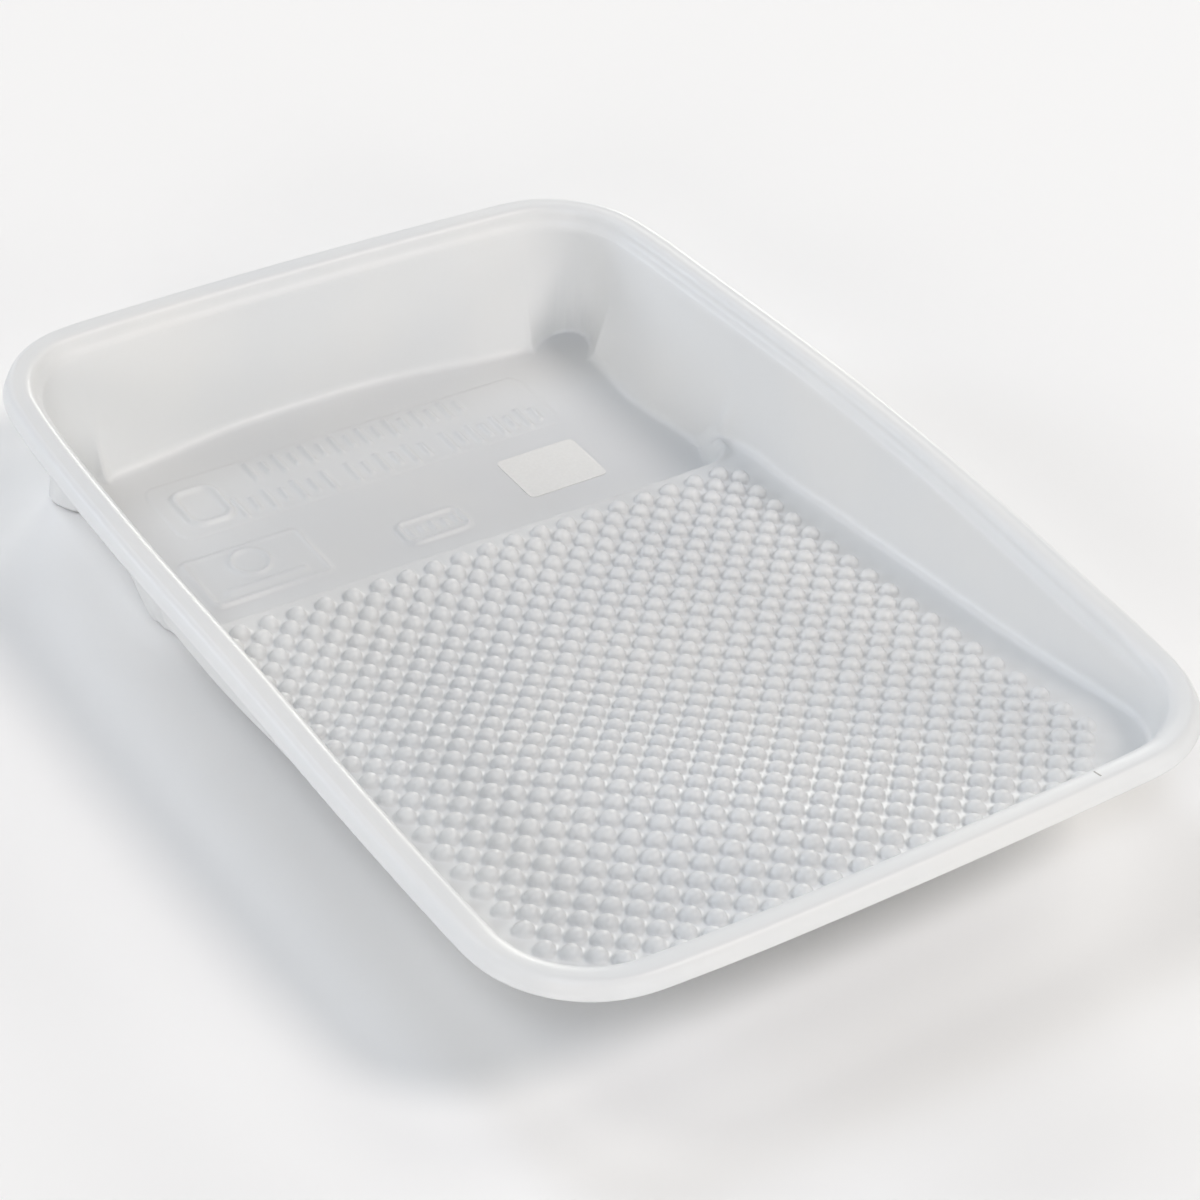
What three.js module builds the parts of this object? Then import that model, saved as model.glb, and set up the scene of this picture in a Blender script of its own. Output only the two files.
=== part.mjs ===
// Disposable paint tray liner: one thin formed sheet with a deep well, a sloping roll-off ramp
// and a rolled rim, and one blank adhesive label on the floor of the well.
// Millimetres. X is across the liner, +Y runs towards the deep end and +Z is up.
// The origin is the middle of the plan, on the plane that the well stands on.
import * as THREE from 'three';

// ---- driving dimensions: plan of the rim's outer edge ----
const LENGTH = 410;            // straight-line length between the end tangents, along Y
const WIDTH = 285;             // width between the corner tangents, along X
const CORNER_RADIUS = 45;
const SIDE_BOW = 5;            // each long side bulges outward this far at mid length
const END_BOW = 2;             // each end bulges outward this far at mid width

// ---- driving dimensions: heights ----
const RIM_HEIGHT = 57;         // crown of the rim above the standing plane, at the corners
const SIDE_ARCH = 4;           // the long sides' crown rises this much more at mid length
const SHEET = 0.6;             // thickness of the formed sheet
const RAMP_FRONT_DEPTH = 14.5; // ramp surface below the corner crown, at the front crown line
const STEP_RISE = 10.2;        // top of the ramp above the floor of the well

// ---- driving dimensions: rim section ----
const SKIRT_DROP = 5.5;        // crown down to the skirt's lower edge
const SKIRT_FLARE = 2.6;       // the skirt leans outward this far
const CROWN_RADIUS = 2.8;      // outer shoulder of the crown
const RIM_WIDTH = 12.4;        // outer edge to where the wall's slope would meet the crown
const SHOULDER_RADIUS = 3.2;   // inner shoulder, crown to wall
const FOOT_RADIUS = 8;         // fillet between wall and floor

// ---- driving dimensions: walls, well and ramp ----
const SIDE_DRAFT = 10;         // wall lean from the vertical at mid side, degrees
const BACK_DRAFT = 11;         // the same at the middle of the back wall
const FRONT_DRAFT = 10;        // the same at the middle of the front wall
const BACK_CORNER_DRAFT = 19;  // the same round the two corners of the well
const FRONT_CORNER_DRAFT = 9;  // the same round the two corners of the ramp
const WELL_LENGTH = 145.5;     // back end tangent to the top edge of the ramp
const RISER_RUN = 5;           // plan length of the riser between the ramp and the well

// ---- driving dimensions: label ----
const LABEL_LENGTH = 36;       // along X
const LABEL_WIDTH = 27.4;      // along Y
const LABEL_CORNER = 2.5;
const LABEL_THICKNESS = 0.15;
const LABEL_TO_RAMP = 34;      // centre of the label to the foot of the riser
const LABEL_OFF_CENTRE = 59.6; // centre of the label from the middle of the well, along X
const ADHESIVE = 0.05;         // layer of glue between the label and the floor

// ---- fineness of the faceting ----
const SIDE_STEPS = 10;
const END_STEPS = 6;
const CORNER_STEPS = 8;
const SHOULDER_STEPS = 3;
const FOOT_STEPS = 4;

// ---- sizes that follow ----
const halfWidth = WIDTH / 2;
const halfLength = LENGTH / 2;
const sideHalf = halfLength - CORNER_RADIUS;   // half the stretch between the corners
const endHalf = halfWidth - CORNER_RADIUS;
const rampTopY = halfLength - WELL_LENGTH;
const stepFootY = rampTopY + RISER_RUN;
const rampTopZ = SHEET + STEP_RISE;
const rampFrontY = -(halfLength - RIM_WIDTH);
const rampFrontZ = RIM_HEIGHT - RAMP_FRONT_DEPTH;
const rampSlope = (rampFrontZ - rampTopZ) / (rampTopY - rampFrontY);

const radians = THREE.MathUtils.degToRad;
const UPPER = 0;               // the sheet's two surfaces
const LOWER = 1;
const SAME_PLACE = 1e-6;       // two stations closer than this are one

// Height of the sheet's upper surface along the middle of the liner.
function floorHeight(y) {
  if (y >= stepFootY) return SHEET;
  if (y >= rampTopY) return SHEET + STEP_RISE * (stepFootY - y) / RISER_RUN;
  return rampTopZ + rampSlope * (rampTopY - y);
}

// A station is a point on the rim's outer edge, with the plan direction that leads inward,
// the height of the crown there and the lean of the wall below it.
function station(x, y, inwardX, inwardY, crown, draft) {
  return { x, y, inwardX, inwardY, crown, draft };
}

// Straight run along a long side, from the front corner to the back one. The stations at the
// riser's two edges are always among them, so the step meets the wall in clean corners.
function sideStations(sign) {
  const places = [];
  for (let i = 1; i < SIDE_STEPS; i += 1) {
    places.push(-sideHalf + 2 * sideHalf * i / SIDE_STEPS);
  }
  const spacing = 2 * sideHalf / SIDE_STEPS;
  const edges = [rampTopY, stepFootY];
  const clear = places.filter((y) => edges.every((edge) => Math.abs(y - edge) > spacing / 4));
  const sorted = [...clear, ...edges].sort((a, b) => a - b);
  return sorted.map((y) => {
    const bulge = 1 - (y / sideHalf) ** 2;
    const cornerDraft = y > 0 ? BACK_CORNER_DRAFT : FRONT_CORNER_DRAFT;
    const draft = cornerDraft + (SIDE_DRAFT - cornerDraft) * bulge;
    const x = sign * (halfWidth + SIDE_BOW * bulge);
    return station(x, y, -sign, 0, RIM_HEIGHT + SIDE_ARCH * bulge, draft);
  });
}

// Run along an end, from -X to +X.
function endStations(sign, middleDraft, cornerDraft) {
  const stations = [];
  for (let i = 1; i < END_STEPS; i += 1) {
    const x = -endHalf + 2 * endHalf * i / END_STEPS;
    const bulge = 1 - (x / endHalf) ** 2;
    const draft = cornerDraft + (middleDraft - cornerDraft) * bulge;
    stations.push(station(x, sign * (halfLength + END_BOW * bulge), 0, -sign, RIM_HEIGHT, draft));
  }
  return stations;
}

// Quarter turn at a corner, starting at the given angle and turning anticlockwise.
function cornerStations(signX, signY, startAngle) {
  const stations = [];
  const draft = signY > 0 ? BACK_CORNER_DRAFT : FRONT_CORNER_DRAFT;
  for (let i = 0; i <= CORNER_STEPS; i += 1) {
    const angle = startAngle + Math.PI / 2 * i / CORNER_STEPS;
    const outX = Math.cos(angle);
    const outY = Math.sin(angle);
    const x = signX * endHalf + CORNER_RADIUS * outX;
    const y = signY * sideHalf + CORNER_RADIUS * outY;
    stations.push(station(x, y, -outX, -outY, RIM_HEIGHT, draft));
  }
  return stations;
}

// Anticlockwise loop seen from above, starting at the front end of the right side.
function outline() {
  return [
    ...sideStations(1),
    ...cornerStations(1, 1, 0),
    ...endStations(1, BACK_DRAFT, BACK_CORNER_DRAFT).reverse(),
    ...cornerStations(-1, 1, Math.PI / 2),
    ...sideStations(-1).reverse(),
    ...cornerStations(-1, -1, Math.PI),
    ...endStations(-1, FRONT_DRAFT, FRONT_CORNER_DRAFT),
    ...cornerStations(1, -1, 3 * Math.PI / 2),
  ];
}

// Points of an arc in the section, whose coordinates are the inset from the outer edge and z.
function arc(centreInset, centreZ, radius, fromAngle, toAngle, steps) {
  const points = [];
  for (let i = 0; i <= steps; i += 1) {
    const angle = fromAngle + (toAngle - fromAngle) * i / steps;
    points.push([centreInset + radius * Math.cos(angle), centreZ + radius * Math.sin(angle)]);
  }
  return points;
}

// Upper surface of the section, from the skirt's edge over the crown and down to the floor.
function section(crown, draftDegrees, floorZ) {
  const draft = radians(draftDegrees);
  const skirtTop = [SKIRT_FLARE + CROWN_RADIUS, crown - CROWN_RADIUS];
  const wallTopInset = RIM_WIDTH - SHOULDER_RADIUS * Math.tan((Math.PI / 2 - draft) / 2);
  const footInset = RIM_WIDTH + (crown - floorZ) * Math.tan(draft)
    + FOOT_RADIUS * Math.tan((Math.PI / 2 - draft) / 2);
  return [
    [0, crown - SKIRT_DROP],
    ...arc(skirtTop[0], skirtTop[1], CROWN_RADIUS, Math.PI, Math.PI / 2, SHOULDER_STEPS),
    ...arc(wallTopInset, crown - SHOULDER_RADIUS, SHOULDER_RADIUS, Math.PI / 2, draft, SHOULDER_STEPS),
    ...arc(footInset, floorZ + FOOT_RADIUS, FOOT_RADIUS, Math.PI + draft, 1.5 * Math.PI, FOOT_STEPS),
  ];
}

// The section at a station. The floor's height there depends on how far in the wall's foot
// lands, which depends on the height, so the two are brought together in a few turns.
function sectionAt(place) {
  let points = section(place.crown, place.draft, floorHeight(place.y));
  for (let turn = 0; turn < 12; turn += 1) {
    const footInset = points[points.length - 1][0];
    points = section(place.crown, place.draft, floorHeight(place.y + place.inwardY * footInset));
  }
  return points;
}

// Lower surface: the same section moved by the sheet's thickness, square to each stretch.
function offsetSection(points) {
  const normals = [];
  for (let i = 0; i + 1 < points.length; i += 1) {
    const [inset, z] = points[i];
    const along = new THREE.Vector2(points[i + 1][0] - inset, points[i + 1][1] - z).normalize();
    normals.push(new THREE.Vector2(-along.y, along.x));
  }
  const floorNormal = new THREE.Vector2(0, 1);
  return points.map(([inset, z], i) => {
    const before = i === 0 ? normals[0] : normals[i - 1];
    const after = i === points.length - 1 ? floorNormal : normals[i];
    const shift = before.clone().add(after).multiplyScalar(SHEET / (1 + before.dot(after)));
    return [inset - shift.x, z - shift.y];
  });
}

// Closed shell: rings of points run round the liner from the skirt's edge down to the floor,
// once on each surface of the sheet, and flat areas close the middle.
function makeLinerGeometry() {
  const stations = outline();
  const upper = stations.map(sectionAt);
  const lower = upper.map(offsetSection);
  const count = stations.length;
  const rings = upper[0].length;
  const positions = [];
  for (const sections of [upper, lower]) {
    for (let ring = 0; ring < rings; ring += 1) {
      stations.forEach((place, i) => {
        const [inset, z] = sections[i][ring];
        positions.push(place.x + place.inwardX * inset, place.y + place.inwardY * inset, z);
      });
    }
  }

  // Both surfaces are cut into the same triangles, wound opposite ways, and the cut of each
  // four-sided patch leans the other way on the other side of the liner, as a mirror would show.
  const triangles = [];
  const index = (side, ring, i) => (side * rings + ring) * count + (i % count);
  const addTriangle = (side, corners) => {
    triangles.push(...(side === UPPER ? corners : [...corners].reverse()));
  };
  for (let i = 0; i < count; i += 1) {
    const next = (i + 1) % count;
    const onRight = stations[i].x + stations[next].x > 0;
    for (const side of [UPPER, LOWER]) {
      for (let ring = 0; ring + 1 < rings; ring += 1) {
        const a = index(side, ring, i);
        const b = index(side, ring, next);
        const c = index(side, ring + 1, next);
        const d = index(side, ring + 1, i);
        const cut = onRight ? [[a, b, c], [a, c, d]] : [[a, b, d], [b, c, d]];
        cut.forEach((corners) => addTriangle(side, corners));
      }
    }
    const edge = [index(LOWER, 0, i), index(LOWER, 0, next), index(UPPER, 0, next), index(UPPER, 0, i)];
    addTriangle(UPPER, [edge[0], edge[1], edge[2]]);
    addTriangle(UPPER, [edge[0], edge[2], edge[3]]);
  }

  // The well's floor and the ramp are flat, and the riser between them is one strip.
  const stationAt = (y, sign) => stations.findIndex((place) => (
    place.inwardX === -sign && Math.abs(place.y - y) < SAME_PLACE
  ));
  const rampRight = stationAt(rampTopY, 1);
  const stepRight = stationAt(stepFootY, 1);
  const stepLeft = stationAt(stepFootY, -1);
  const rampLeft = stationAt(rampTopY, -1);
  const run = (from, to) => {
    const members = [];
    for (let i = from; i !== to; i = (i + 1) % count) {
      members.push(i);
    }
    return [...members, to];
  };
  const riser = [rampRight, stepRight, stepLeft, rampLeft];
  for (const members of [run(stepRight, stepLeft), run(rampLeft, rampRight), riser]) {
    const contour = members.map((i) => {
      const at = 3 * index(UPPER, rings - 1, i);
      return new THREE.Vector2(positions[at], positions[at + 1]);
    });
    for (const triple of THREE.ShapeUtils.triangulateShape(contour, [])) {
      for (const side of [UPPER, LOWER]) {
        addTriangle(side, triple.map((k) => index(side, rings - 1, members[k])));
      }
    }
  }

  const geometry = new THREE.BufferGeometry();
  geometry.setAttribute('position', new THREE.Float32BufferAttribute(positions, 3));
  geometry.setIndex(triangles);
  geometry.computeVertexNormals();
  return geometry;
}

function makeLiner() {
  const material = new THREE.MeshStandardMaterial({ color: 0xe4e6e6, roughness: 0.35, metalness: 0 });
  const mesh = new THREE.Mesh(makeLinerGeometry(), material);
  mesh.name = 'tray_liner';
  return mesh;
}

function makeLabel() {
  const shape = new THREE.Shape();
  const x = LABEL_LENGTH / 2;
  const y = LABEL_WIDTH / 2;
  shape.moveTo(x, -y + LABEL_CORNER);
  shape.absarc(x - LABEL_CORNER, y - LABEL_CORNER, LABEL_CORNER, 0, Math.PI / 2, false);
  shape.absarc(-x + LABEL_CORNER, y - LABEL_CORNER, LABEL_CORNER, Math.PI / 2, Math.PI, false);
  shape.absarc(-x + LABEL_CORNER, -y + LABEL_CORNER, LABEL_CORNER, Math.PI, 1.5 * Math.PI, false);
  shape.absarc(x - LABEL_CORNER, -y + LABEL_CORNER, LABEL_CORNER, 1.5 * Math.PI, 2 * Math.PI, false);
  const geometry = new THREE.ExtrudeGeometry(shape, {
    depth: LABEL_THICKNESS, bevelEnabled: false, curveSegments: 5,
  });
  const material = new THREE.MeshStandardMaterial({ color: 0xe9e9e6, roughness: 0.7, metalness: 0 });
  const mesh = new THREE.Mesh(geometry, material);
  mesh.name = 'label';
  mesh.position.set(LABEL_OFF_CENTRE, stepFootY + LABEL_TO_RAMP, SHEET + ADHESIVE);
  return mesh;
}

const trayLiner = new THREE.Group();
trayLiner.add(makeLiner());
trayLiner.add(makeLabel());

export default trayLiner;
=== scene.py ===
"""Looks of a thin formed paint tray liner: deep well, bumped ramp, rolled rim, blank label."""
import math

import bpy
import numpy as np
from mathutils import Matrix, Vector
from mathutils.geometry import delaunay_2d_cdt
from mathutils.kdtree import KDTree


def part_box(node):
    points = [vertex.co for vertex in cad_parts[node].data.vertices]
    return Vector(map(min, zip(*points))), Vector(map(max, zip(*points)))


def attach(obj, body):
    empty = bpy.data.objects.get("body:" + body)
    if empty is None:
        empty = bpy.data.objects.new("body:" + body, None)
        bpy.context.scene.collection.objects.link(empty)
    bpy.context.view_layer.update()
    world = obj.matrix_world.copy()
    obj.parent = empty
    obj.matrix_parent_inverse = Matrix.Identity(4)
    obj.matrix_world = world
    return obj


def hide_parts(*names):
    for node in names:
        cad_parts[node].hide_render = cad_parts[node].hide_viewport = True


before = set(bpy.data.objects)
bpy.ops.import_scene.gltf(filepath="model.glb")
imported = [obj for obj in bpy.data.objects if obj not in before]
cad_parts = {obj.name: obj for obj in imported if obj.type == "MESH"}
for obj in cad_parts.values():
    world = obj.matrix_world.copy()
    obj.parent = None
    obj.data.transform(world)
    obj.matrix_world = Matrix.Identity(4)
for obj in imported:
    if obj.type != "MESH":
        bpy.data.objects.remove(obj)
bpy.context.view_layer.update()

# Shapes are worked out in millimetres in the frame's axes, and scaled when a mesh is made.
MM = 0.001

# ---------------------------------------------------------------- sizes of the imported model
liner_high = np.array(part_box("tray_liner")[1]) / MM

SIDE_BOW = 5.0
END_BOW = 2.0
SIDE_ARCH = 4.0
CORNER_RADIUS = 45.0
SHEET = 0.6
STEP_RISE = 10.2
RAMP_FRONT_DEPTH = 14.5
WELL_LENGTH = 145.5
SKIRT_DROP = 5.5
RIM_WIDTH = 12.4

HALF_WIDTH = liner_high[0] - SIDE_BOW
HALF_LENGTH = liner_high[1] - END_BOW
RIM_HEIGHT = liner_high[2] - SIDE_ARCH
SIDE_HALF = HALF_LENGTH - CORNER_RADIUS
END_HALF = HALF_WIDTH - CORNER_RADIUS
RAMP_TOP_Y = HALF_LENGTH - WELL_LENGTH
RAMP_TOP_Z = SHEET + STEP_RISE
RAMP_FRONT_Y = -(HALF_LENGTH - RIM_WIDTH)
RAMP_SLOPE = (RIM_HEIGHT - RAMP_FRONT_DEPTH - RAMP_TOP_Z) / (RAMP_TOP_Y - RAMP_FRONT_Y)
RIDGE_Y = RAMP_TOP_Y - 1.0


def smoothstep(low, high, value):
    """Smooth rise from 0 at one value to 1 at the other."""
    t = np.clip((value - low) / (high - low), 0.0, 1.0)
    return t * t * (3.0 - 2.0 * t)


def hill(value, centre, width):
    """Smooth bell of height 1."""
    return np.exp(-((value - centre) / width) ** 2)


# ---------------------------------------------------------------- bumps on the ramp
BUMP_PITCH = 11.64
ROW_PITCH = 6.01
FIRST_ROW_Y = RAMP_TOP_Y - 8.3
BUMP_ROWS = 40
BUMP_RADIUS = 3.55
BUMP_HEIGHT = 3.5
# Rings of vertices on one dome, as angles down from its top, then the radius where it ends.
DOME_ANGLES = (0.0, 22.0, 44.0, 67.0)
DOME_EDGE = 3.68
# A row reaches this many columns each way, and the front rows are cut short by the rounded wall.
EVEN_ROW_REACH = 9.0
ODD_ROW_REACH = 9.5
FRONT_ROW_REACH = 7.6
REACH_PER_ROW = 0.62
# Every dome sits in a lozenge of the floor, whose points reach half a pitch and a row.
LOZENGE_X = BUMP_PITCH / 2
LOZENGE_Y = ROW_PITCH


def bump_centres():
    """Middles of the domes, whose rows are shifted by half a pitch from one to the next."""
    centres = []
    for row in range(BUMP_ROWS):
        half = ODD_ROW_REACH if row % 2 else EVEN_ROW_REACH
        limit = FRONT_ROW_REACH + REACH_PER_ROW * (BUMP_ROWS - 1 - row)
        for column in np.arange(-half, half + 1):
            if abs(column) <= limit:
                centres.append((column * BUMP_PITCH, FIRST_ROW_Y - row * ROW_PITCH))
    return np.array(centres)


def slipped(x, y, way=1.0):
    """The first rows slip a little off the even pattern towards the right end of the ridge."""
    slip = way * smoothstep(0.0, 105.0, x) * smoothstep(-10.0, 52.0, y)
    return x + 1.1 * slip, y - 1.0 * slip


def dome_cell():
    """Grid of plan offsets and heights of one lozenge: a dome in the middle, flat at its edge."""
    radii = [BUMP_RADIUS * math.sin(math.radians(a)) for a in DOME_ANGLES] + [DOME_EDGE]
    lifts = [BUMP_HEIGHT * math.cos(math.radians(a)) for a in DOME_ANGLES] + [0.0]
    rings = len(radii)
    steps = np.arange(-rings, rings + 1)
    u, v = np.meshgrid(steps, steps)
    ring = np.maximum(np.abs(u), np.abs(v))
    x = LOZENGE_X * (u - v) / 2
    y = LOZENGE_Y * (u + v) / 2
    length = np.hypot(x, y)
    scale = np.array(radii + [1.0])[ring] / np.where(length > 0, length, 1.0)
    edge = ring == rings
    x = np.where(edge, x / rings, x * scale)
    y = np.where(edge, y / rings, y * scale)
    return x, y, np.array(lifts + [0.0])[ring], ring


# ---------------------------------------------------------------- floor: well, riser, ramp
POCKET_HALF = 120.5
POCKET_CORNER = 13.5
RISER_RUN = 5.0
POCKET_FLARE = 0.4
FLARE_LENGTH = 40.0


def oval_hill(x, y, centre, long_size, short_size, turn):
    """Smooth hill of height 1 with an oval plan, turned by an angle in radians."""
    dx, dy = x - centre[0], y - centre[1]
    along = dx * math.cos(turn) + dy * math.sin(turn)
    across = dy * math.cos(turn) - dx * math.sin(turn)
    return np.exp(-((along / long_size) ** 2) - (across / short_size) ** 2)


# The thin sheet relaxed after forming. Heights, places and reaches of its soft shapes, with the
# turn of the oval ones in radians.
RAMP_LEVEL = -1.1
LIFT_HEIGHT = 4.63
LIFT_Y = 62.0
LIFT_REACH = 29.3
SAG_HEIGHT = -6.92
SAG_OVAL = ((-8.0, -62.4), 148.0, 115.0, -0.45)
SWELL_HEIGHT = 8.46
SWELL_OVAL = ((-36.0, -110.5), 104.0, 48.0, -0.92)
RIDGE_LEFT = 0.35
RIDGE_FALL = 1.2
RIDGE_RETURN = 0.1
RIGHT_END_FALL = 2.0


def ramp_warp(x, y):
    """The thin ramp isn't quite flat: its top lifts, it sags and swells across a diagonal, and
    the ridge over the well falls away at its right end."""
    lift = LIFT_HEIGHT * hill(y, LIFT_Y, LIFT_REACH)
    sag = SAG_HEIGHT * oval_hill(x, y, *SAG_OVAL)
    swell = SWELL_HEIGHT * oval_hill(x, y, *SWELL_OVAL)
    along_ridge = RIDGE_LEFT - RIDGE_FALL * smoothstep(-40.0, 30.0, x)
    along_ridge = along_ridge + RIDGE_RETURN * smoothstep(60.0, 105.0, x)
    dip = along_ridge * smoothstep(50.0, 59.0, y)
    right_end = -RIGHT_END_FALL * smoothstep(0.0, 105.0, x) * smoothstep(5.0, 50.0, y)
    return RAMP_LEVEL + lift + sag + swell + dip + right_end


def pocket_distance(x, y):
    """Distance inside the rounded plan of the well at the top of the riser, below 0 outside."""
    # Past its rounded corners the well is as wide as the walls leave it.
    flare = POCKET_FLARE * np.clip(y - (RIDGE_Y + POCKET_CORNER), 0.0, FLARE_LENGTH)
    across = np.abs(x) - (POCKET_HALF - POCKET_CORNER) - flare
    along = (RIDGE_Y + POCKET_CORNER) - y
    outside = np.hypot(np.clip(across, 0.0, None), np.clip(along, 0.0, None))
    inside = np.minimum(np.maximum(across, along), 0.0)
    return POCKET_CORNER - (outside + inside)


def ramp_height(y):
    """The even slope of the ramp, before its warp."""
    return RAMP_TOP_Z + RAMP_SLOPE * (RAMP_TOP_Y - y)


CREST_HEIGHT = 0.5
CREST_WIDTH = 1.5
# Extra height and width of the crest where it turns into the side walls.
CREST_CLIMB = 1.9
CREST_SPREAD = 0.6


def floor_height(x, y):
    """Upper surface of the sheet between the feet of the walls, without bumps or relief."""
    into_well = pocket_distance(x, y)
    share = smoothstep(0.0, RISER_RUN, into_well)
    ramp = ramp_height(y) + ramp_warp(x, y)
    # The ridge stands up a little all along, and climbs where it turns into the side walls.
    climb = smoothstep(107.0, 122.0, np.abs(x))
    fade = smoothstep(RIDGE_Y + 34.0, RIDGE_Y + 10.0, y)
    across = hill(into_well, 0.1, CREST_WIDTH + CREST_SPREAD * climb)
    crest = (CREST_HEIGHT + CREST_CLIMB * climb) * across * fade
    return ramp * (1.0 - share) + SHEET * share + crest


# ---------------------------------------------------------------- raised relief in the well
def outline_distance(x, y, centre, size, corner):
    """Distance outside a rounded rectangle, below 0 inside it."""
    dx = np.abs(x - centre[0]) - (size[0] / 2 - corner)
    dy = np.abs(y - centre[1]) - (size[1] / 2 - corner)
    outside = np.hypot(np.clip(dx, 0.0, None), np.clip(dy, 0.0, None))
    return outside + np.minimum(np.maximum(dx, dy), 0.0) - corner


def raised_line(distance, stroke, height):
    """Rounded line just inside an outline."""
    return height * hill(distance, -stroke / 2, stroke / 1.7)


def raised_panel(distance, height, edge=1.3):
    """Low flat panel with a soft edge."""
    return height * smoothstep(0.0, -edge, distance)


def rib_row(x, y, start, end, middle, tall, pitch=6.2, width=2.3, height=1.35):
    """Row of upright round-ended ribs between two places, every second one shorter."""
    count = max(int(round((end - start) / pitch)), 1)
    pitch = (end - start) / count
    place = np.clip(np.rint((x - start) / pitch), 0, count)
    reach = (tall - width) / 2 * np.where(place % 2 > 0.5, 0.62, 1.0)
    dx = x - (start + place * pitch)
    dy = np.clip(np.abs(y - middle) - reach, 0.0, None)
    return height * hill(np.hypot(dx, dy), 0.0, width / 2.1)


# Rows of ribs: start and end across the tray, place along it, height of a rib in plan.
RELIEF_ROWS = ((-46.0, 49.0, 152.3, 13.0), (-61.0, -22.0, 133.0, 14.0), (-11.0, 22.0, 133.0, 14.0),
               (33.0, 74.0, 133.0, 14.0))
# Outlines of the relief: centre, size, corner radius.
BIG_PANEL = ((-4.0, 143.0), (171.0, 37.0), 6.0)
SLOT = ((-73.0, 141.5), (20.0, 25.0), 6.5)
PLATE = ((-73.5, 96.8), (51.0, 31.5), 3.0)
SMALL_PANEL = ((-1.5, 87.7), (29.0, 15.4), 4.5)
BAR = ((-74.0, 87.5), (34.0, 3.2), 1.6)
RING_X = -74.0
RING_Y = 101.0
RING_RADIUS = 7.5
PANEL_RISE = 0.3
PLATE_RISE = 0.45
SMALL_RISE = 0.25


def well_relief(x, y):
    """Plain stiffening relief on the floor of the well: ribs, outlines and low panels."""
    big = outline_distance(x, y, *BIG_PANEL)
    slot = outline_distance(x, y, *SLOT)
    plate = outline_distance(x, y, *PLATE)
    small = outline_distance(x, y, *SMALL_PANEL)
    ring = np.abs(np.hypot(x - RING_X, y - RING_Y) - RING_RADIUS)
    bar = outline_distance(x, y, *BAR)
    # What stands on a panel is pushed below the floor outside that panel, so it shows only there.
    off_plate = 2.0 * (plate > -2.0)
    off_small = 2.0 * (small > -2.0)
    relief = raised_panel(big, PANEL_RISE, 2.5)
    for start, end, middle, tall in RELIEF_ROWS:
        relief = np.maximum(relief, PANEL_RISE + rib_row(x, y, start, end, middle, tall))
    relief = np.where(big < 0.0, relief, 0.0)
    relief = np.maximum(relief, raised_line(slot, 2.8, 1.6) + raised_panel(slot, PANEL_RISE))
    # The plate's edge is raised most at its near left corner.
    towards_far = (x - PLATE[0][0]) + (y - PLATE[0][1])
    edge_lift = 0.35 + 0.5 * smoothstep(8.0, -34.0, towards_far)
    framed = raised_panel(plate, PLATE_RISE) + raised_line(plate, 2.0, 1.5) * edge_lift
    relief = np.maximum(relief, framed)
    relief = np.maximum(relief, PLATE_RISE + 1.2 * hill(ring, 0.0, 1.1) - off_plate)
    relief = np.maximum(relief, PLATE_RISE + raised_line(bar, 2.0, 1.0) - off_plate)
    relief = np.maximum(relief, raised_line(small, 2.0, 1.3) + raised_panel(small, SMALL_RISE))
    short_row = rib_row(x, y, -11.5, 8.5, SMALL_PANEL[0][1], 7.0, 5.0, 1.9, 1.0)
    return np.maximum(relief, SMALL_RISE + short_row - off_small)


# ---------------------------------------------------------------- stations round the rim
STATIONS = 840
SMOOTHING = 5.0
# Slope of the walls in degrees, and what is added at the middle of the sides and the front.
WALL_DRAFT = 9.0
EXTRA_DRAFT = 1.0


def loop_smooth(values, spacing, sigma):
    """Gaussian smoothing of values that run round a closed loop."""
    frequency = np.fft.fftfreq(len(values), spacing)
    window = np.exp(-2.0 * (math.pi * frequency * sigma) ** 2)
    return np.real(np.fft.ifft(np.fft.fft(values) * window))


def raw_outline(steps=600):
    """Anticlockwise loop of the rim's outer edge, from the front end of the right side."""
    t = np.linspace(0.0, 1.0, steps, endpoint=False)
    span = 2.0 * t - 1.0
    bulge = 1.0 - span ** 2
    parts = []

    def side(sign):
        x = sign * (HALF_WIDTH + SIDE_BOW * bulge)
        y = sign * span * SIDE_HALF
        parts.append((x, y, RIM_HEIGHT + SIDE_ARCH * bulge, WALL_DRAFT + EXTRA_DRAFT * bulge))

    def end(sign):
        x = -sign * span * END_HALF
        y = sign * (HALF_LENGTH + END_BOW * bulge)
        extra = 0.0 if sign > 0 else EXTRA_DRAFT
        parts.append((x, y, np.full(steps, RIM_HEIGHT), WALL_DRAFT + extra * bulge))

    def corner(sign_x, sign_y, start):
        angle = start + t * math.pi / 2
        x = sign_x * END_HALF + CORNER_RADIUS * np.cos(angle)
        y = sign_y * SIDE_HALF + CORNER_RADIUS * np.sin(angle)
        parts.append((x, y, np.full(steps, RIM_HEIGHT), np.full(steps, WALL_DRAFT)))

    side(1)
    corner(1, 1, 0.0)
    end(1)
    corner(-1, 1, math.pi / 2)
    side(-1)
    corner(-1, -1, math.pi)
    end(-1)
    corner(1, -1, 1.5 * math.pi)
    return [np.concatenate(column) for column in zip(*parts)]


# Places where the real rim stands out from, or inside, the even outline: x, y, shift, reach.
RIM_SHIFTS = ((141.0, -165.0, 2.3, 38.0), (141.0, 152.0, 1.7, 34.0), (145.0, -20.0, 0.9, 110.0),
              (-136.0, 178.0, -1.9, 30.0), (-145.0, -15.0, -1.2, 60.0), (0.0, -205.0, -0.6, 90.0),
              (-115.0, -198.0, -0.8, 30.0))


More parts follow.
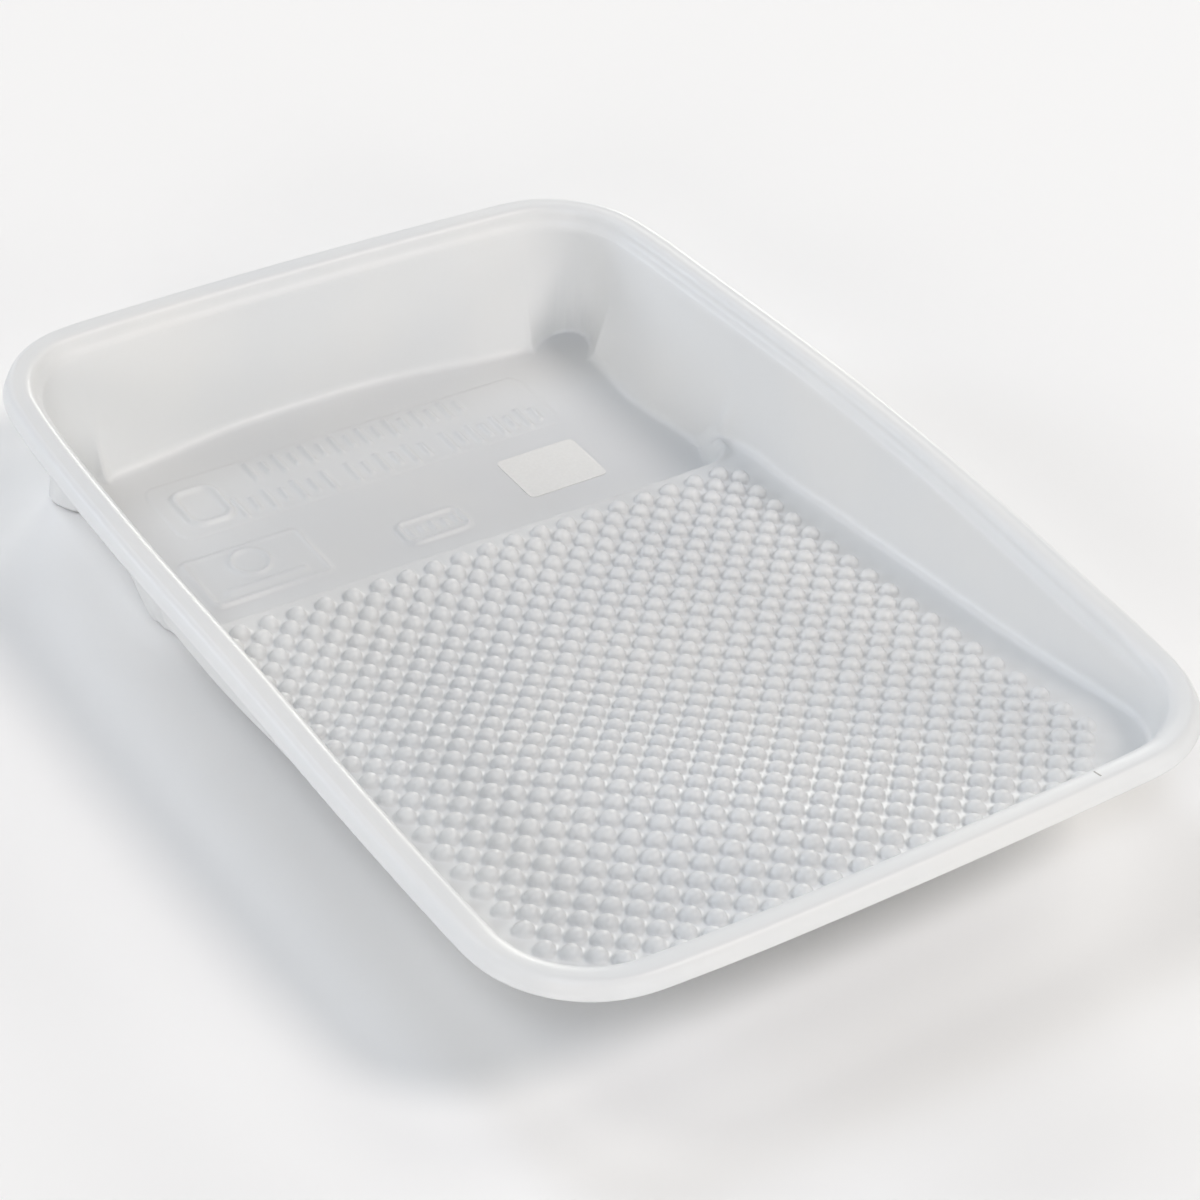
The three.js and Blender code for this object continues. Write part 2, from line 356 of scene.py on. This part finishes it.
def make_stations():
    """Evenly spaced stations round the rim, with the way inward, rim height and wall slope."""
    x, y, crown, draft = raw_outline()
    step = np.hypot(np.diff(x, append=x[0]), np.diff(y, append=y[0]))
    length = np.concatenate([[0.0], np.cumsum(step)])
    total = length[-1]
    at = np.arange(STATIONS) * total / STATIONS
    columns = [np.interp(at, length, np.append(c, c[0])) for c in (x, y, crown, draft)]
    spacing = total / STATIONS
    x, y, crown, draft = (loop_smooth(c, spacing, SMOOTHING) for c in columns)
    tx = np.roll(x, -1) - np.roll(x, 1)
    ty = np.roll(y, -1) - np.roll(y, 1)
    norm = np.hypot(tx, ty)
    in_x, in_y = -ty / norm, tx / norm
    for at_x, at_y, shift, reach in RIM_SHIFTS:
        outward = shift * hill(np.hypot(x - at_x, y - at_y), 0.0, reach)
        x = x - in_x * outward
        y = y - in_y * outward
    return {
        "x": x, "y": y, "in_x": in_x, "in_y": in_y,
        "crown": crown, "draft": np.radians(draft), "spacing": spacing,
    }


# ---------------------------------------------------------------- section of the rim and wall
# Points of the rim's section from the skirt's edge to the top of the wall: inset, drop.
SIDE_RIM = [
    (0.0, SKIRT_DROP), (0.6, 4.1), (1.1, 2.7), (1.8, 1.3), (2.9, 0.35), (4.1, 0.0),
    (5.1, 0.04), (6.0, 0.06), (7.2, 0.02), (8.5, 0.08), (9.7, 0.4), (10.7, 1.15),
    (11.4, 2.3), (11.9, 3.7), (12.6, 4.9), (13.6, 6.0), (14.5, 7.2),
]
FRONT_RIM = [
    (0.0, SKIRT_DROP), (0.85, 4.3), (1.5, 2.8), (2.4, 1.3), (3.6, 0.25), (4.8, 0.0),
    (5.9, 0.05), (7.0, 0.15), (8.2, 0.35), (9.4, 0.7), (10.6, 1.25), (11.6, 2.1),
    (12.2, 3.1), (12.6, 4.1), (12.9, 5.1), (13.2, 6.1), (13.45, 7.2),
]
RIM_RINGS = 45
WALL_RINGS = 20
FOOT_RINGS = 10
# Width of the plain strip of floor inside the fillet.
MARGIN = 0.6


def spline_through(points, count):
    """Catmull-Rom curve through the points, cut into evenly numbered samples."""
    p = np.array(points, float)
    p = np.vstack([2 * p[0] - p[1], p, 2 * p[-1] - p[-2]])
    t = np.linspace(0.0, len(points) - 1, count)
    k = np.minimum(t.astype(int), len(points) - 2)
    f = (t - k)[:, None]
    a, b, c, d = p[k], p[k + 1], p[k + 2], p[k + 3]
    square = 2 * a - 5 * b + 4 * c - d
    cube = 3 * b - a - 3 * c + d
    return 0.5 * (2 * b + (c - a) * f + square * f ** 2 + cube * f ** 3)


def corner_distance(stations, sign_x, sign_y):
    """Distance along the rim from the middle of one corner, for every station."""
    aim_x = sign_x * (END_HALF + CORNER_RADIUS * math.sqrt(0.5))
    aim_y = sign_y * (SIDE_HALF + CORNER_RADIUS * math.sqrt(0.5))
    nearest = int(np.argmin(np.hypot(stations["x"] - aim_x, stations["y"] - aim_y)))
    offset = np.arange(STATIONS) - nearest
    offset = (offset + STATIONS // 2) % STATIONS - STATIONS // 2
    return offset * stations["spacing"]


def foot_shift(stations):
    """How far the foot of the wall lies inside a plain slope: the walls lean in towards the two
    corners of the well, and each corner itself is a steep pocket. Returns the smooth part, and
    the part that only shows low down."""
    smooth = np.zeros(STATIONS)
    low = np.zeros(STATIONS)
    for sign in (1, -1):
        s = corner_distance(stations, sign, 1) * sign
        smooth += 7.5 * hill(s, -66.0, 35.0) + 7.5 * hill(s, 40.0, 40.0) - 4.6 * hill(s, -6.0, 24.0)
        low += -4.5 * hill(s, -6.0, 18.0)
        low += 0.3 * np.sin(s * 2.0 * math.pi / 4.6) * hill(s, -9.0, 15.0)
        low += 3.4 * np.exp(-np.abs(s - 31.0) / 5.0) + 3.8 * np.exp(-np.abs(s + 36.0) / 5.0)
    return smooth, low


def wall_shift(shifts, share):
    """The part of the foot's shift that shows at a share of the wall's depth."""
    smooth, low = shifts
    return smooth * share + low * share ** 2.6


def ring_zone(stations):
    """Rings of points round the liner, from the skirt's edge to the plain edge of the floor."""
    x, y, crown, draft = (stations[k] for k in ("x", "y", "crown", "draft"))
    in_x, in_y = stations["in_x"], stations["in_y"]
    front = smoothstep(-128.0, -178.0, y)[None, :, None]
    side_rim = spline_through(SIDE_RIM, RIM_RINGS)
    front_rim = spline_through(FRONT_RIM, RIM_RINGS)
    rim = side_rim[:, None, :] * (1 - front) + front_rim[:, None, :] * front
    inset = list(rim[..., 0])
    height = [crown - d for d in rim[..., 1]]

    # Where the wall's slope would meet the floor, found by a few turns of correction.
    top_inset = rim[-1, :, 0]
    top_drop = rim[-1, :, 1]
    shifts = foot_shift(stations)
    foot_inset = top_inset + 25.0
    for _ in range(40):
        floor = floor_height(x + in_x * foot_inset, y + in_y * foot_inset)
        target = RIM_WIDTH + (crown - floor) * np.tan(draft) + shifts[0] + shifts[1]
        foot_inset = 0.6 * foot_inset + 0.4 * target
    floor = floor_height(x + in_x * foot_inset, y + in_y * foot_inset)
    fall = crown - top_drop - floor
    slope = (foot_inset - shifts[0] - shifts[1] - top_inset) / fall
    radius = 2.0 + 1.6 * smoothstep(-188.0, -120.0, y)
    for sign in (1, -1):
        radius -= 1.8 * hill(corner_distance(stations, sign, 1), 0.0, 30.0)
    reach = radius * np.tan((math.pi / 2 - np.arctan(slope)) / 2) * 1.25
    reach_up = np.minimum(reach, 0.45 * fall)

    # The ridge over the well runs a little way up each side wall as a soft crease.
    crease = 2.2 * hill(y, RIDGE_Y + 16.0, 3.4) * (np.abs(x) > END_HALF)

    def wall_inset(drop):
        lean = top_inset + drop * slope + wall_shift(shifts, drop / fall)
        return lean + crease * hill(crown - top_drop - drop, RAMP_TOP_Z + 4.0, 8.0)

    wall_end = fall - reach_up
    for i in range(1, WALL_RINGS + 1):
        d = wall_end * i / WALL_RINGS
        inset.append(wall_inset(d))
        height.append(crown - top_drop - d)

    # Fillet between wall and floor: a smooth curve from the wall's end to the floor.
    corner_inset = wall_inset(fall)
    start_inset, start_z = inset[-1], height[-1]
    end_inset = corner_inset + reach
    end_z = floor_height(x + in_x * end_inset, y + in_y * end_inset)
    for i in range(1, FOOT_RINGS + 1):
        t = i / FOOT_RINGS
        a, b, c = (1 - t) ** 2, 2 * t * (1 - t), t * t
        inset.append(a * start_inset + b * corner_inset + c * end_inset)
        height.append(a * start_z + b * floor + c * end_z)
    edge = end_inset + MARGIN
    inset.append(edge)
    height.append(floor_height(x + in_x * edge, y + in_y * edge))
    inset = np.array(inset)
    height = np.array(height)
    return np.stack([x + in_x * inset, y + in_y * inset, height], axis=-1)


# ---------------------------------------------------------------- middle of the floor
# Spacings of the mesh where there is relief, where the floor is plain, and in the filling.
FINE = 0.7
COARSE = 1.3
LOOSE = 2.6


def inside_polygon(px, py, loop):
    """Even-odd test of many points against one closed loop of points."""
    inside = np.zeros(px.shape, bool)
    x0, y0 = loop[:, 0], loop[:, 1]
    x1, y1 = np.roll(x0, -1), np.roll(y0, -1)
    for ax, ay, bx, by in zip(x0, y0, x1, y1):
        if ay == by:
            continue
        crosses = (ay > py) != (by > py)
        inside ^= crosses & (px < (bx - ax) * (py - ay) / (by - ay) + ax)
    return inside


def graded_line(stops):
    """Places along a line, from stretches given as start, end and spacing."""
    line = []
    for start, end, spacing in stops:
        count = max(int(round((end - start) / spacing)), 1)
        line.extend(np.linspace(start, end, count, endpoint=False))
    return np.array(line)


def well_grid(loop):
    """Square mesh over the ridge and the well's floor, finer where the relief is."""
    gx = graded_line(((-130.0, -92.0, COARSE), (-92.0, 82.0, FINE), (82.0, 130.0, COARSE)))
    grid_front = FIRST_ROW_Y + ROW_PITCH + 0.4
    gy = graded_line(((grid_front, 66.0, FINE), (66.0, 78.0, COARSE),
                      (78.0, 163.0, FINE), (163.0, 190.0, COARSE)))
    x, y = np.meshgrid(gx, gy)
    inside = inside_polygon(x, y, loop)
    cell = inside[:-1, :-1] & inside[:-1, 1:] & inside[1:, :-1] & inside[1:, 1:]
    j, i = np.nonzero(cell)
    corners = np.stack([(j, i), (j, i + 1), (j + 1, i + 1), (j + 1, i)], axis=0)
    flat = corners[:, 0] * len(gx) + corners[:, 1]
    used, faces = np.unique(flat, return_inverse=True)
    plan = np.stack([x.ravel()[used], y.ravel()[used]], axis=1)
    into_well = smoothstep(0.0, RISER_RUN, pocket_distance(plan[:, 0], plan[:, 1]))
    lift = into_well * well_relief(plan[:, 0], plan[:, 1])
    return plan, lift, faces.reshape(flat.shape).T, (gx, gy, cell)


def bump_field(loop):
    """Lozenge cells of the domes. Where the wall is too near, only the round dome is made."""
    centres = bump_centres()
    cx, cy, lift, ring = dome_cell()
    last = ring.max()
    n = ring.shape[0]
    j, i = np.meshgrid(np.arange(n - 1), np.arange(n - 1), indexing="ij")
    near, far = j * n + i, (j + 1) * n + i
    quads = np.stack([near, near + 1, far + 1, far], axis=-1).reshape(-1, 4)
    round_quads = quads[(ring.ravel()[quads] < last).all(axis=1)]
    x, y = slipped(centres[:, 0, None] + cx.ravel(), centres[:, 1, None] + cy.ravel())
    inside = inside_polygon(x, y, loop)
    full = inside.all(axis=1)
    domed = (inside | (ring.ravel() == last)).all(axis=1) & ~full
    faces = [quads + k * n * n for k in np.nonzero(full)[0]]
    faces += [round_quads + k * n * n for k in np.nonzero(domed)[0]]
    faces = np.vstack(faces)
    plan = np.round(np.stack([x.ravel(), y.ravel()], axis=1), 4)
    keys, first, same = np.unique(plan, axis=0, return_index=True, return_inverse=True)
    faces = same.reshape(-1)[faces]
    used, faces = np.unique(faces, return_inverse=True)
    lifts = np.tile(lift.ravel(), len(centres))[first]
    return keys[used], lifts[used], faces.reshape(-1, 4), centres[full], centres[domed]


def open_edges(faces):
    """Directed edges that only one face uses."""
    start = faces.ravel()
    end = np.roll(faces, -1, axis=1).ravel()
    span = int(faces.max()) + 1
    key = start.astype(np.int64) * span + end
    back = end.astype(np.int64) * span + start
    keep = ~np.isin(key, back)
    return np.stack([start[keep], end[keep]], axis=1)


def loose_points(loop, taken, covered):
    """Scattered points for the plain strips of floor between the ribs of the mesh."""
    gx = np.arange(-130.0, 130.0, LOOSE)
    gy = np.arange(-200.0, 190.0, LOOSE)
    x, y = np.meshgrid(gx, gy)
    x = (x + 0.5 * LOOSE * (np.arange(len(gy)) % 2)[:, None]).ravel()
    y = y.ravel()
    keep = inside_polygon(x, y, loop) & ~covered(x, y)
    x, y = x[keep], y[keep]
    tree = KDTree(len(taken))
    for k, (px, py) in enumerate(taken):
        tree.insert((px, py, 0.0), k)
    tree.balance()
    far = [tree.find((px, py, 0.0))[2] > 0.6 * LOOSE for px, py in zip(x, y)]
    return np.stack([x[far], y[far]], axis=1)


def make_liner_mesh():
    """Points of the whole sheet, the quads of its ordered parts and the triangles between."""
    stations = make_stations()
    rings = ring_zone(stations)
    count = len(rings)
    index = np.arange(count * STATIONS).reshape(count, STATIONS)
    right = np.roll(index, -1, axis=1)
    ring_faces = np.stack([index[:-1], right[:-1], right[1:], index[1:]], axis=-1).reshape(-1, 4)

    inner = rings[-1][:, :2]
    inward = np.stack([stations["in_x"], stations["in_y"]], axis=1)
    grid_plan, grid_lift, grid_faces, (gx, gy, cell) = well_grid(inner + 0.9 * inward)
    bump_plan, bump_lift, bump_faces, full, domed = bump_field(inner + 0.25 * inward)

    def covered(x, y):
        col = np.searchsorted(gx, x) - 1
        row = np.searchsorted(gy, y) - 1
        hit = (col >= 0) & (row >= 0) & (col < cell.shape[1]) & (row < cell.shape[0])
        hit &= cell[np.clip(row, 0, cell.shape[0] - 1), np.clip(col, 0, cell.shape[1] - 1)]
        x, y = slipped(x, y, -1.0)
        for at_x, at_y in full:
            hit |= np.abs(x - at_x) / LOZENGE_X + np.abs(y - at_y) / LOZENGE_Y < 1.0
        for at_x, at_y in domed:
            hit |= np.hypot(x - at_x, y - at_y) < 0.99 * DOME_EDGE
        return hit

    # The plain strips between the rings, the domes and the well are filled with triangles.
    grid_start = count * STATIONS
    bump_start = grid_start + len(grid_plan)
    loose_start = bump_start + len(bump_plan)
    grid_edges = open_edges(grid_faces) + grid_start
    bump_edges = open_edges(bump_faces) + bump_start
    plan = np.vstack([rings[..., :2].reshape(-1, 2), grid_plan, bump_plan])
    border = np.unique(np.concatenate([index[-1], grid_edges.ravel(), bump_edges.ravel()]))
    loose = loose_points(inner + 1.2 * inward, plan[border], covered)
    plan = np.vstack([plan, loose])
    lift = np.concatenate([np.zeros(grid_start), grid_lift, bump_lift, np.zeros(len(loose))])
    height = floor_height(plan[:, 0], plan[:, 1]) + lift
    height[:grid_start] = rings[..., 2].ravel()
    points = np.column_stack([plan, height])

    ids = np.concatenate([border, loose_start + np.arange(len(loose))])
    place = np.full(len(points), -1)
    place[ids] = np.arange(len(ids))
    ring_edges = np.stack([index[-1], right[-1]], axis=1)
    edges = place[np.vstack([ring_edges, grid_edges, bump_edges])]
    flat = [Vector(pair) for pair in plan[ids]]
    out = delaunay_2d_cdt(flat, edges.tolist(), [], 0, 1e-6, True)
    place_back = np.array([sources[0] for sources in out[3]])
    corners = np.array([tuple(v) for v in out[0]])
    triangles = np.array([face for face in out[2] if len(face) == 3])
    centres = corners[triangles].mean(axis=1)
    keep = inside_polygon(centres[:, 0], centres[:, 1], inner) & ~covered(centres[:, 0], centres[:, 1])
    fill = ids[place_back[triangles[keep]]]
    quads = np.vstack([ring_faces, grid_faces + grid_start, bump_faces + bump_start])
    return points, quads, fill


def build_object(name, points, faces):
    """Smooth-shaded mesh object from points in millimetres."""
    mesh = bpy.data.meshes.new(name)
    mesh.from_pydata((points * MM).tolist(), [], faces)
    mesh.validate()
    mesh.shade_smooth()
    obj = bpy.data.objects.new(name, mesh)
    bpy.context.scene.collection.objects.link(obj)
    return obj


def make_liner():
    """The whole formed sheet, with its thickness as a modifier."""
    points, quads, triangles = make_liner_mesh()
    faces = quads.tolist() + triangles.tolist()
    liner = build_object("liner_sheet", points, faces)
    solid = liner.modifiers.new("sheet", "SOLIDIFY")
    solid.thickness = SHEET * MM
    solid.offset = -1.0
    solid.use_even_offset = False
    return liner


# ---------------------------------------------------------------- materials
def new_material(name):
    """Node material, with its nodes, links and main shader."""
    material = bpy.data.materials.new(name)
    material.use_nodes = True
    nodes = material.node_tree.nodes
    return material, nodes, material.node_tree.links, nodes["Principled BSDF"]


# The nick in metres, as its place on the front rim and half of its length and width; its dark colour
# is painted shade.
NICK_X = 0.0781
NICK_Y = -0.1977
NICK_HALF_LENGTH = 0.0018
NICK_HALF_WIDTH = 0.00035
NICK_BEND = 60.0
# Painted shade: the dark colour stands in for the shade inside the nick.
NICK_SHADE_COLOR = (0.36, 0.35, 0.33, 1.0)

SHEET_IOR = 1.49
SHEET_TINTS = ((0.83, 0.845, 0.86, 1.0), (0.86, 0.865, 0.865, 1.0))
SHEET_GLOSS = (0.33, 0.43)
THROUGH_COLOR = (0.86, 0.87, 0.87, 1.0)
THROUGH_SHARE = 0.2
PAPER_TINTS = ((0.79, 0.79, 0.775, 1.0), (0.82, 0.82, 0.805, 1.0))
PAPER_GLOSS = (0.42, 0.6)


def math_node(nodes, links, operation, *values):
    """Math node whose inputs are numbers or the sockets given."""
    node = nodes.new("ShaderNodeMath")
    node.operation = operation
    for socket, value in zip(node.inputs, values):
        if isinstance(value, (int, float)):
            socket.default_value = value
        else:
            links.new(value, socket)
    return node.outputs["Value"]


def nick_shade_mask(nodes, links, coordinates):
    """1 along one short curved nick across the top of the front rim, where its shade is painted, 0
    elsewhere.
    """
    def maths(operation, *values):
        return math_node(nodes, links, operation, *values)

    split = nodes.new("ShaderNodeSeparateXYZ")
    links.new(coordinates, split.inputs["Vector"])
    along = maths("SUBTRACT", split.outputs["Y"], NICK_Y)
    bend = maths("MULTIPLY", maths("MULTIPLY", along, along), NICK_BEND)
    across = maths("SUBTRACT", maths("SUBTRACT", split.outputs["X"], NICK_X), bend)
    thin = maths("LESS_THAN", maths("ABSOLUTE", across), NICK_HALF_WIDTH)
    short = maths("LESS_THAN", maths("ABSOLUTE", along), NICK_HALF_LENGTH)
    high = maths("GREATER_THAN", split.outputs["Z"], (RIM_HEIGHT - 3.0) * MM)
    return maths("MULTIPLY", maths("MULTIPLY", thin, short), high)


def noise_node(nodes, links, coordinates, scale, detail):
    """Cloudy values over the object's own coordinates."""
    noise = nodes.new("ShaderNodeTexNoise")
    noise.inputs["Scale"].default_value = scale
    noise.inputs["Detail"].default_value = detail
    links.new(coordinates, noise.inputs["Vector"])
    return noise.outputs["Fac"]


def tint_node(nodes, links, value, low, high, tints):
    """Colour between two tints."""
    tone = nodes.new("ShaderNodeValToRGB")
    tone.color_ramp.elements[0].position = low
    tone.color_ramp.elements[0].color = tints[0]
    tone.color_ramp.elements[1].position = high
    tone.color_ramp.elements[1].color = tints[1]
    links.new(value, tone.inputs["Fac"])
    return tone.outputs["Color"]


def gloss_node(nodes, links, value, span):
    """Roughness between two values."""
    gloss = nodes.new("ShaderNodeMapRange")
    gloss.inputs["To Min"].default_value, gloss.inputs["To Max"].default_value = span
    links.new(value, gloss.inputs["Value"])
    return gloss.outputs["Result"]


def grain_node(nodes, links, value, strength, distance):
    """Fine unevenness of the surface, as a bend of its normal."""
    face = nodes.new("ShaderNodeBump")
    face.inputs["Strength"].default_value = strength
    face.inputs["Distance"].default_value = distance
    links.new(value, face.inputs["Height"])
    return face.outputs["Normal"]


def liner_material():
    """Thin milky plastic: satin gloss, some light through it, faint clouding, drawn grain and painted
    shade along a nick on the front rim.
    """
    material, nodes, links, shader = new_material("formed_sheet")
    shader.inputs["IOR"].default_value = SHEET_IOR
    place = nodes.new("ShaderNodeTexCoord").outputs["Object"]
    cloud = noise_node(nodes, links, place, 14.0, 2.0)
    # Painted shade: the nick on the front rim is coloured dark where it lies in shade.
    shade_marked = nodes.new("ShaderNodeMix")
    shade_marked.data_type = "RGBA"
    colors = [socket for socket in shade_marked.inputs if socket.type == "RGBA"]
    colors[1].default_value = NICK_SHADE_COLOR
    links.new(nick_shade_mask(nodes, links, place), shade_marked.inputs[0])
    links.new(tint_node(nodes, links, cloud, 0.3, 0.7, SHEET_TINTS), colors[0])
    mixed = next(socket for socket in shade_marked.outputs if socket.type == "RGBA")
    links.new(mixed, shader.inputs["Base Color"])
    links.new(gloss_node(nodes, links, cloud, SHEET_GLOSS), shader.inputs["Roughness"])
    grain = noise_node(nodes, links, place, 520.0, 2.0)
    links.new(grain_node(nodes, links, grain, 0.12, 0.0001), shader.inputs["Normal"])

    through = nodes.new("ShaderNodeBsdfTranslucent")
    through.inputs["Color"].default_value = THROUGH_COLOR
    mix = nodes.new("ShaderNodeMixShader")
    mix.inputs["Fac"].default_value = THROUGH_SHARE
    links.new(shader.outputs["BSDF"], mix.inputs[1])
    links.new(through.outputs["BSDF"], mix.inputs[2])
    links.new(mix.outputs["Shader"], nodes["Material Output"].inputs["Surface"])
    return material


def paper_material():
    """Coated label paper: a warm white with a fine fibre mottle in its colour, gloss and face."""
    material, nodes, links, shader = new_material("label_paper")
    place = nodes.new("ShaderNodeTexCoord").outputs["Object"]
    fibre = noise_node(nodes, links, place, 900.0, 3.0)
    links.new(tint_node(nodes, links, fibre, 0.35, 0.65, PAPER_TINTS), shader.inputs["Base Color"])
    links.new(gloss_node(nodes, links, fibre, PAPER_GLOSS), shader.inputs["Roughness"])
    links.new(grain_node(nodes, links, fibre, 0.15, 0.00005), shader.inputs["Normal"])
    return material


def floor_material():
    """Plain matt pale floor."""
    material, _, _, shader = new_material("studio_floor")
    shader.inputs["Base Color"].default_value = (0.9, 0.9, 0.9, 1.0)
    shader.inputs["Roughness"].default_value = 0.8
    return material


# ---------------------------------------------------------------- camera
# Place in millimetres, turns in degrees and lens in millimetres.
CAMERA_PLACE = (-505.984, -717.410, 701.724)
CAMERA_YAW = 36.062
CAMERA_PITCH = 37.634
CAMERA_ROLL = -4.312
CAMERA_LENS = 91.709
CAMERA_SENSOR = 36.0


def direction(bearing, rise):
    """Unit vector from a bearing, from +Y towards +X, and a height angle, both in radians."""
    level = math.cos(rise)
    return Vector((level * math.sin(bearing), level * math.cos(bearing), math.sin(rise)))


def make_camera():
    yaw, pitch, roll = (math.radians(a) for a in (CAMERA_YAW, CAMERA_PITCH, CAMERA_ROLL))
    forward = direction(yaw, -pitch)
    level = Vector((math.cos(yaw), -math.sin(yaw), 0.0))
    down = forward.cross(level)
    right = math.cos(roll) * level + math.sin(roll) * down
    below = -math.sin(roll) * level + math.cos(roll) * down
    turn = Matrix((right, -below, -forward)).transposed()
    data = bpy.data.cameras.new("camera")
    data.sensor_width = CAMERA_SENSOR
    data.lens = CAMERA_LENS
    data.clip_start = 0.01
    camera = bpy.data.objects.new("camera", data)
    camera.matrix_world = Matrix.Translation(Vector(CAMERA_PLACE) * MM) @ turn.to_4x4()
    bpy.context.scene.collection.objects.link(camera)
    bpy.context.scene.camera = camera


make_camera()


# ---------------------------------------------------------------- stage and light
# Section of the studio sweep in metres: distance out, height. A flat floor turns up far away.
FLOOR_Z = -0.0005
SWEEP = ((0.0, FLOOR_Z), (4.0, FLOOR_Z), (22.0, FLOOR_Z), (23.2, 0.25), (24.2, 1.0), (24.8, 2.4))
SWEEP_SIDES = 64


def make_stage():
    """Round pale floor whose edge turns up behind the object."""
    verts = []
    for out, height in SWEEP:
        for side in range(SWEEP_SIDES):
            angle = 2.0 * math.pi * side / SWEEP_SIDES
            verts.append((out * math.cos(angle), out * math.sin(angle), height))
    faces = []
    for ring in range(len(SWEEP) - 1):
        for side in range(SWEEP_SIDES):
            beside = (side + 1) % SWEEP_SIDES
            inner, outer = ring * SWEEP_SIDES, (ring + 1) * SWEEP_SIDES
            faces.append((inner + side, outer + side, outer + beside, inner + beside))
    mesh = bpy.data.meshes.new("floor")
    mesh.from_pydata(verts, [], faces)
    mesh.shade_smooth()
    floor = bpy.data.objects.new("floor", mesh)
    bpy.context.scene.collection.objects.link(floor)
    floor.data.materials.append(floor_material())


# Distant soft lights round the object: bearing in degrees from +Y towards +X, height angle in
# degrees, strength, tint. One key from the front right, a high fill and a low ring.
LIGHT_ANGLE = 18.0
WARM = (1.0, 0.93, 0.88)
EVEN = (1.0, 0.99, 0.94)
COOL = (0.94, 1.0, 1.1)
LIGHTS = (
    (135.0, 50.0, 1.2, WARM),
    (0.0, 50.0, 0.45, COOL),
    (225.0, 50.0, 0.6, COOL),
    (90.0, 50.0, 0.35, EVEN),
    (315.0, 50.0, 0.4, EVEN),
    (45.0, 15.0, 0.9, EVEN),
    (315.0, 15.0, 0.7, COOL),
    (225.0, 15.0, 0.65, WARM),
    (135.0, 15.0, 0.4, EVEN),
    (180.0, 15.0, 0.4, EVEN),
    (0.0, 15.0, 0.25, EVEN),
    (270.0, 15.0, 0.25, EVEN),
)


def make_light():
    """Soft distant lights alone: the world itself is dark."""
    world = bpy.data.worlds.new("studio")
    world.use_nodes = True
    world.node_tree.nodes["Background"].inputs["Strength"].default_value = 0.0
    bpy.context.scene.world = world
    for bearing, rise, strength, tint in LIGHTS:
        data = bpy.data.lights.new("panel", "SUN")
        data.angle = math.radians(LIGHT_ANGLE)
        data.energy = strength
        data.color = tint
        light = bpy.data.objects.new("panel", data)
        towards = direction(math.radians(bearing), math.radians(rise))
        light.rotation_euler = (-towards).to_track_quat("-Z", "Y").to_euler()
        bpy.context.scene.collection.objects.link(light)
    bpy.context.scene.view_settings.view_transform = "Standard"


make_stage()
make_light()

# ---------------------------------------------------------------- pieces
liner = make_liner()
liner.data.materials.append(liner_material())
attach(liner, "root")
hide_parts("tray_liner")

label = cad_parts["label"]
label.data.materials.clear()
label.data.materials.append(paper_material())

bpy.context.view_layer.update()
